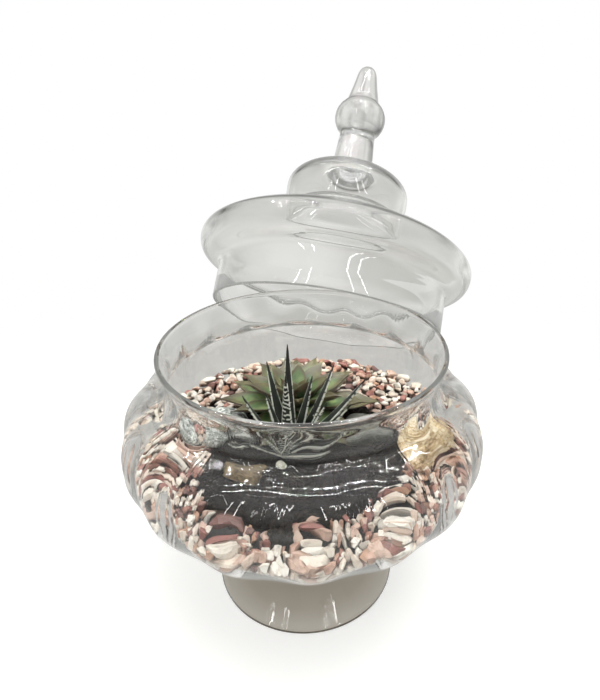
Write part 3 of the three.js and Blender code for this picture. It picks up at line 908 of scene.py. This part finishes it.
# A blade to bend into leaves: X runs across from -1 to 1, Y along from 0 to 1, Z through from -1 to 1.
def bladeShape(sides, stations):
    deselect()
    upright = (pi / 2, 0, 0)
    bpy.ops.mesh.primitive_circle_add(vertices=sides, radius=1, fill_type="TRIFAN", rotation=upright)
    blade = bpy.context.object
    editMode()
    for _ in range(stations):
        bpy.ops.mesh.extrude_region_move(TRANSFORM_OT_translate={"value": (0, 1 / stations, 0)})
    closeMesh()
    blade.data.transform(blade.matrix_world)
    blade.matrix_world = Matrix.Identity(4)
    return takeShape(blade)


# Bends a blade along a middle line that starts at root and leans out, then curls back up by curl.
# shape says how far sideways and how high a point at (along, across, through) lies.
def bendBlade(blade, root, azimuth, lean, curl, length, shape):
    out = Vector((cos(azimuth), sin(azimuth), 0))
    side = Vector((-sin(azimuth), cos(azimuth), 0))
    line, at, steps = [], Vector(root), 48
    for i in range(steps + 1):
        angle = lean - curl * i / steps
        along = out * sin(angle) + Vector((0, 0, cos(angle)))
        if i:
            at = at + along * length / steps
        line.append((at.copy(), side.cross(along) * -1))
    points = []
    for across, share, through in blade[0]:
        share = min(max(share, 0), 1)
        k = min(int(share * steps), steps - 1)
        middle = line[k][0].lerp(line[k + 1][0], share * steps - k)
        sideways, lift = shape(share, across, through)
        points.append(middle + side * sideways + line[k][1] * lift)
    return np.array(points)


# Pairs are a leaf's value at the heart and what the outermost leaf has more, or less for thick and
# rise. Leaves that face the front are shorter and narrower, and those at the back stand steeper.
rosette = {
    "foot": (-6.9, 23.4, 112),
    "turn": 5.4,
    "leaves": 26,
    "innerLeaves": 8,
    "length": (25.9, 36.6),
    "width": (5.4, 4.6),
    "lean": (18, 72),
    "thick": (3.0, 0.6),
    "rise": (10, 5.5),
    "curl": radians(-4),
    "frontShort": 0.64,
    "frontNarrow": 0.2,
    "backSteep": 6,
    "twist": 0.12,
    "keel": 0.6,
    "cup": 0.26,
    "tipCurl": 1.6,
    # The first ramp, the underside's green, is darker partly with painted shade; the third is painted shade
    # towards each leaf's base.
    "under": [(0.3, "#2F3D30"), (0.5, "#46583F"), (0.72, "#687854")],
    "upper": [(0.3, "#445A3B"), (0.5, "#61774A"), (0.72, "#8C9A62")],
    "paintedBaseShade": [(0.0, "#33332B"), (0.24, "#777A66"), (0.48, "#FFFFFF")],
    "tip": [(0.77, "#000000"), (0.92, "#D0D0D0")],
    "red": "#532F28",
}


# age is 0 at the heart and 1 for the outermost leaf.
def echeveriaLeaf(blade, i, age, lengthFactor=1.0):
    plan = rosette
    dice = Random(i + 100)
    azimuth = i * goldenAngle + plan["turn"]
    facing = max(0, -sin(azimuth + 0.05)) ** 5
    back = max(0, sin(azimuth))
    length = plan["length"][0] + plan["length"][1] * age**0.84
    length *= (1 - plan["frontShort"] * facing * age) * lengthFactor
    width = plan["width"][0] + plan["width"][1] * age
    width *= (1 - plan["frontNarrow"] * facing * age) * (0.6 + 0.4 * lengthFactor)
    lean = radians(plan["lean"][0] + plan["lean"][1] * age**0.5 - plan["backSteep"] * back * age)
    thick = plan["thick"][0] - plan["thick"][1] * age
    twist = dice.uniform(-plan["twist"], plan["twist"])

    def shape(share, across, through):
        swell = 0.42 + 0.58 * sin(pi * (share * 0.8 + 0.04)) ** 0.9
        point = 1 - smoothStep(share, 0.55, 1.0) ** 1.2
        half = width * swell * max(point, 0.012)
        body = thick * (1 - 0.5 * share) * max(1 - smoothStep(share, 0.78, 1.02), 0.05)
        if through > 0:
            body *= 0.35
        keel = -plan["keel"] * body * (1 - abs(across)) if through < 0 else 0
        cup = (across * across) * half * plan["cup"]
        tipCurl = -plan["tipCurl"] * smoothStep(share, 0.86, 1.0)
        return across * half, through * body + keel + cup + tipCurl + across * half * twist

    x, y, z = plan["foot"]
    root = (x, y, z + plan["rise"][0] - plan["rise"][1] * age)
    bent = bendBlade(blade, root, azimuth, lean, plan["curl"], length, shape)
    marks = {
        "along": blade[0][:, 1],
        "edge": np.abs(blade[0][:, 0]) ** 3,
        "face": (blade[0][:, 2] > 0).astype(float),
        "blush": [dice.uniform(-0.1, 0.12)] * len(bent),
    }
    return bent, blade[1], marks


# Echeveria: thick waxy leaves, grey-green outside and yellower inside, red-brown at tips and edges. The
# undersides are darker partly with painted shade, and painted shade darkens each leaf towards its base.
def echeveriaMaterial():
    material, add, shader = newMaterial("echeveria_leaf_skin")
    names = ("along", "edge", "face", "blush")
    along, edge, face, blush = (add("Attribute", attribute_name=name) for name in names)
    cloud = add("TexNoise", Vector=(add("TexCoord"), "Object"), Scale=110.0, Detail=5.0)
    # The underside's green is darker, partly with painted shade.
    under = add("ValToRGB", stops=rosette["under"], Fac=(cloud, "Fac"))
    upper = add("ValToRGB", stops=rosette["upper"], Fac=(cloud, "Fac"))
    green = add("Mix", data_type="RGBA", i0=(face, "Fac"), i6=(under, "Color"), i7=(upper, "Color"))
    rim = add("Math", operation="MULTIPLY_ADD", i0=(edge, "Fac"), i1=0.4, i2=(along, "Fac"))
    worn = add("Math", operation="MULTIPLY_ADD", i0=(cloud, "Fac"), i1=0.34, i2=(rim, "Value"))
    reach = add("Math", operation="ADD", i0=(worn, "Value"), i1=(blush, "Fac"))
    tip = add("ValToRGB", stops=rosette["tip"], Fac=(reach, "Value"))
    brown = linear(rosette["red"])
    red = add("Mix", data_type="RGBA", i0=(tip, "Color"), i6=(green, 2), i7=brown)
    # Painted shade: each leaf darkens towards its base.
    paintedBaseShade = add("ValToRGB", stops=rosette["paintedBaseShade"], Fac=(along, "Fac"))
    leaf = add("Mix", **multiply, i0=1.0, i6=(red, 2), i7=(paintedBaseShade, "Color"))
    bump = add("Bump", Strength=0.15, Distance=0.001, Height=(cloud, "Fac"))
    setNode(shader, Base_Color=(leaf, 2), Roughness=0.4, Normal=(bump, "Normal"))
    setNode(shader, Subsurface_Weight=0.05, Subsurface_Radius=(0.002, 0.003, 0.001))
    return material


def makeEcheveria():
    blade = bladeShape(16, 22)
    count = rosette["leaves"]
    leaves = [echeveriaLeaf(blade, i, (i + 0.5) / count) for i in range(count)]
    for k in range(rosette["innerLeaves"]):
        leaves.append(echeveriaLeaf(blade, -1 - k, 0.012, 0.78 - 0.07 * k))
    plant = place(joinParts("echeveria_leaves", leaves))
    smoothAll(plant)
    setMaterial(plant, echeveriaMaterial())
    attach(plant, "root")
    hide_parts("echeveria")
    print("echeveria made,", len(plant.data.polygons), "faces")


# Each haworthia leaf is its azimuth and lean in degrees, and its length in millimetres.
spikes = {
    "foot": (-8, -19, 111),
    "halfWidth": 4.7,
    "halfThick": 2.5,
    "bandSpacing": 2.7,
    "bandHeight": 0.45,
    "leaves": [
        (95, 12, 68), (128, 24, 57), (250, 3, 56), (40, 20, 50), (28, 34, 61),
        (350, 30, 44), (14, 51, 65), (356, 50, 51), (184, 38, 48), (166, 19, 42),
        (285, 42, 46), (235, 40, 44), (212, 62, 40), (310, 60, 42),
    ],
    "green": [(0.0, "#434E3B"), (0.25, "#1E251C"), (1.0, "#121711")],
    "ridge": [(0.28, "#000000"), (0.5, "#FFFFFF")],
    "white": "#DDDFD4",
}


# How much white ridge there is at a point of a haworthia leaf, from 0 to 1: bands across the back,
# beads along the edges, a few grains low on the inner face.
def ridgeShare(distance, share, across, through, seed):
    wobble = noise.noise((distance * 0.13, across * 1.3, seed * 7.3)) * 1.3
    row = (distance + wobble) / spikes["bandSpacing"]
    ridge = max(0, 1 - abs(row - round(row)) * 3.4)
    fade = 1 - smoothStep(share, 0.86, 0.97)
    if abs(across) > 0.9:
        bead = noise.noise((distance * 0.9, across * 3, seed * 3.1))
        return fade * (1 if bead > -0.22 else 0.2)
    if through > 0:
        grain = noise.noise((distance * 1.1, across * 7, seed * 5.7))
        return fade * (0.9 if grain > 0.42 + 0.5 * share else 0)
    whole = 1 if noise.noise((across * 2.4 + seed, round(row) * 3.7, 0.5)) > -0.3 else 0
    return ridge * whole * fade


def haworthiaLeaf(blade, seed, azimuth, lean, length):
    x, y, z = spikes["foot"]
    turn = radians(azimuth)
    ridges = []

    def shape(share, across, through):
        half = spikes["halfWidth"] * (1 - share) ** 0.86 + 0.24
        body = spikes["halfThick"] * (1 - share) ** 0.6 + 0.3
        if through > 0:
            body *= 0.4
        ridge = ridgeShare(share * length, share, across, through, seed)
        ridges.append(ridge)
        rise = spikes["bandHeight"] * ridge
        return across * (half + rise * 0.5), through * (body + rise)

    root = (x + 2 * cos(turn), y + 2 * sin(turn), z + 2)
    curl = radians(14 if lean > 30 else 4)
    bent = bendBlade(blade, root, turn, radians(lean), curl, length, shape)
    return bent, blade[1], {"ridge": ridges, "along": blade[0][:, 1]}


# Haworthia: hard, almost black green skin with a dull shine, crossed by rough white ridges.
def haworthiaMaterial():
    material, add, shader = newMaterial("haworthia_leaf_skin")
    ridge = add("Attribute", attribute_name="ridge")
    along = add("Attribute", attribute_name="along")
    green = add("ValToRGB", stops=spikes["green"], Fac=(along, "Fac"))
    bands = add("ValToRGB", stops=spikes["ridge"], Fac=(ridge, "Fac"))
    white = linear(spikes["white"])
    mix = add("Mix", data_type="RGBA", i0=(bands, "Color"), i6=(green, "Color"), i7=white)
    setNode(shader, Base_Color=(mix, 2), Roughness=0.42)
    return material


def makeHaworthia():
    blade = bladeShape(20, 130)
    leaves = [haworthiaLeaf(blade, seed, *row) for seed, row in enumerate(spikes["leaves"])]
    plant = place(joinParts("haworthia_leaves", leaves))
    smoothAll(plant)
    setMaterial(plant, haworthiaMaterial())
    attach(plant, "root")
    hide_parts("haworthia")
    print("haworthia made,", len(plant.data.polygons), "faces")


# Lengths are in metres, and a lamp is its size and watts. seen is the painted glow the glass shows of
# the floor, from the middle of the foot outwards, dark and beige there with a painted shadow, and sky
# is what it shows of the room, from below to above.
studio = {
    "floorRadius": 0.62,
    "floorFade": (0.2, 0.56),
    "floorColour": "#FAFAF8",
    "floorGlow": 0.48,
    "seen": [
        (0.0, "#857E72"), (0.07, "#958E82"), (0.11, "#B6B1A8"), (0.16, "#ECEBE7"),
        (0.24, "#F2F1EE"), (0.4, "#C9C9C6"), (0.7, "#CDCDCA"), (0.97, "#E6E6E4"),
    ],
    "sky": [
        (0.0, "#F4F4F2"), (0.4, "#F4F4F2"), (0.47, "#E6E6E4"), (0.53, "#C0C0BE"),
        (0.6, "#787876"), (0.7, "#A8A8A6"), (0.82, "#DADAD8"), (1.0, "#F0F0F2"),
    ],
    "patches": [(0.36, "#D2D2D0"), (0.5, "#F0F0F0"), (0.62, "#FFFFFF")],
    "soft": "#C0C0BE",
    "softboxes": [
        ("softboxTop", (0.8, 0.6), 5, (0.15, -0.1, 1.1), (0, 0, 0.1)),
        ("softboxLeft", (0.5, 0.9), 1.9, (-0.95, -0.5, 0.6), (0, 0, 0.12)),
    ],
    "ceiling": 1.3,
    "strip": ((0.014, 0.014), 0.3),
    "stripRows": (0.4, 0.16, -0.15),
    "stripLamps": 26,
    "stripSpacing": 0.06,
    "spot": ((0.03, 0.03), 1.6),
    "spots": [(-0.72, 0.42), (-0.28, -0.06), (0.75, 0.3)],
    "tube": ((1.9, 0.008), 3.2),
    "tubes": (0.28, -0.34),
    "window": ((0.03, 0.9), 1.6),
    "windows": (-0.95, -0.55, 0.6, 1.0),
    "windowPlace": (-1.2, 1.25),
}


# White studio paper that glows a little. Every ray but the camera's sees a painted glow from seen
# instead, with a painted shadow under the foot, and darker further out, as the room behind it is.
def makeFloor():
    deselect()
    radius = studio["floorRadius"]
    middle = (jarAxis.x, jarAxis.y, -0.0002)
    bpy.ops.mesh.primitive_circle_add(vertices=96, radius=radius, fill_type="NGON", location=middle)
    floor = bpy.context.object
    floor.name = "floor"
    material, add, shader = newMaterial("studio_paper")
    setNode(shader, Base_Color=linear(studio["floorColour"]), Roughness=0.9, Specular_IOR_Level=0)
    setNode(shader, Emission_Color=(1, 1, 1, 1), Emission_Strength=studio["floorGlow"])
    distance = add("VectorMath", operation="LENGTH", i0=(add("TexCoord"), "Object"))
    near, far = studio["floorFade"]
    fade = add("MapRange", interpolation_type="SMOOTHERSTEP", i0=(distance, "Value"))
    setNode(fade, i1=near, i2=far, i3=1.0, i4=0.0)
    clear = add("BsdfTransparent")
    paper = add("MixShader", i0=(fade, "Result"), i1=(clear, "BSDF"), i2=(shader, "BSDF"))
    # Painted light: glass and bounced light see the floor as this glow, with a painted shadow under the
    # foot.
    share = add("Math", operation="DIVIDE", i0=(distance, "Value"), i1=radius)
    tone = add("ValToRGB", stops=studio["seen"], Fac=(share, "Value"))
    paintedGlow = add("Emission", Color=(tone, "Color"), Strength=1.0)
    path = add("LightPath")
    mix = add("MixShader", i0=(path, "Is Camera Ray"), i1=(paintedGlow, "Emission"), i2=(paper, "Shader"))
    setNode(material.node_tree.nodes["Material Output"], Surface=(mix, 0))
    floor.data.materials.append(material)


# A seen lamp shows in the glass and lights nothing else, the others light the scene and don't show.
def addLamp(name, size, power, location, aim, seen):
    lamp = bpy.data.lights.new(name, "AREA")
    lamp.shape = "RECTANGLE"
    lamp.size, lamp.size_y = size
    lamp.energy = power
    item = addObject(name, lamp)
    item.location = location
    item.rotation_euler = (Vector(aim) - Vector(location)).to_track_quat("-Z", "Y").to_euler()
    item.visible_glossy = seen
    item.visible_transmission = seen
    item.visible_diffuse = not seen


# The surround: paper-white as the eye sees it, a room with a dark band where the glass shows it, and
# light grey where it lights the rest.
def makeRoom():
    world = bpy.data.worlds.new("studio")
    bpy.context.scene.world = world
    world.use_nodes = True
    tree = world.node_tree
    add, background = partial(addNode, tree), tree.nodes["Background"]
    sky = add("TexCoord")
    parts = add("SeparateXYZ", i0=(sky, "Generated"))
    height = add("MapRange", i0=(parts, "Z"), i1=-1.0, i2=1.0, i3=0.0, i4=1.0)
    tone = add("ValToRGB", stops=studio["sky"], Fac=(height, "Result"))
    patches = add("TexNoise", Vector=(sky, "Generated"), Scale=2.6, Detail=2.0)
    shade = add("ValToRGB", stops=studio["patches"], Fac=(patches, "Fac"))
    room = add("Mix", **multiply, i0=1.0, i6=(tone, "Color"), i7=(shade, "Color"))
    setNode(background, Color=(room, 2), Strength=1.0)
    soft = add("Background", Color=linear(studio["soft"]), Strength=1.0)
    white = add("Background", Color=(1, 1, 1, 1), Strength=1.0)
    path = add("LightPath")
    glassRay = add("Math", operation="MAXIMUM", i0=(path, "Is Glossy Ray"), i1=(path, "Is Transmission Ray"))
    seenIn = add("MixShader", i0=(glassRay, "Value"), i1=(soft, "Background"), i2=(background, "Background"))
    mix = add("MixShader", i0=(path, "Is Camera Ray"), i1=(seenIn, "Shader"), i2=(white, "Background"))
    setNode(tree.nodes["World Output"], Surface=(mix, 0))


# Two softboxes light the scene. Rows of small lamps, spots, tubes and windows show in the glass.
def makeLight():
    for name, size, power, location, aim in studio["softboxes"]:
        addLamp(name, size, power, location, aim, False)
    ceiling, lamps = studio["ceiling"], studio["stripLamps"]
    for row, y in enumerate(studio["stripRows"]):
        for k in range(lamps):
            x = (k - lamps / 2) * studio["stripSpacing"]
            addLamp("strip%d_%d" % (row, k), *studio["strip"], (x, y, ceiling), (x, y, 0), True)
    for i, (x, y) in enumerate(studio["spots"]):
        addLamp("spot%d" % i, *studio["spot"], (x, y, ceiling), (0, 0, 0.1), True)
    for i, y in enumerate(studio["tubes"]):
        addLamp("tube%d" % i, *studio["tube"], (0, y, ceiling), (0, y, 0), True)
    for i, x in enumerate(studio["windows"]):
        addLamp("window%d" % i, *studio["window"], (x, *studio["windowPlace"]), (0, 0, 0.2), True)


# The photographer's place about the jar's axis in millimetres.
view = {
    "at": (19.1, -288.3, 324.6),
    "down": radians(27.58),
    "roll": radians(0.97),
    "lens": 28.13,
    "shift": -0.0513,
}


def makeCamera():
    down, roll = view["down"], view["roll"]
    forward = Vector((0, cos(down), -sin(down)))
    right, up = Vector((1, 0, 0)), Vector((0, sin(down), cos(down)))
    tiltedRight = right * cos(roll) + up * sin(roll)
    tiltedUp = up * cos(roll) - right * sin(roll)
    camera = addObject("camera", bpy.data.cameras.new("camera"))
    turn = Matrix((tiltedRight, tiltedUp, -forward)).transposed().to_4x4()
    camera.matrix_world = Matrix.Translation(toFrame @ Vector(view["at"])) @ turn
    camera.data.lens = view["lens"]
    camera.data.sensor_width = 36
    camera.data.shift_x = view["shift"]
    camera.data.clip_start = 0.01
    bpy.context.scene.camera = camera


def setRender():
    bpy.context.scene.view_settings.view_transform = "Standard"
    cycles = bpy.context.scene.cycles
    cycles.max_bounces = 24
    cycles.transmission_bounces = 24
    cycles.transparent_max_bounces = 24
    cycles.glossy_bounces = 16
    cycles.caustics_reflective = False
    cycles.caustics_refractive = True
    cycles.blur_glossy = 0.5
    cycles.sample_clamp_indirect = 6


makeCamera()
makeJar(addStriae(clearGlass("blown_jar_glass", glassLook["jarEdgePaintedGlow"])))
makeLid(clearGlass("blown_lid_glass", glassLook["lidEdgePaintedGlow"]))
makeBeds()
makeSoil()
makePebbles()
makeEcheveria()
makeHaworthia()
makeFloor()
makeRoom()
makeLight()
setRender()
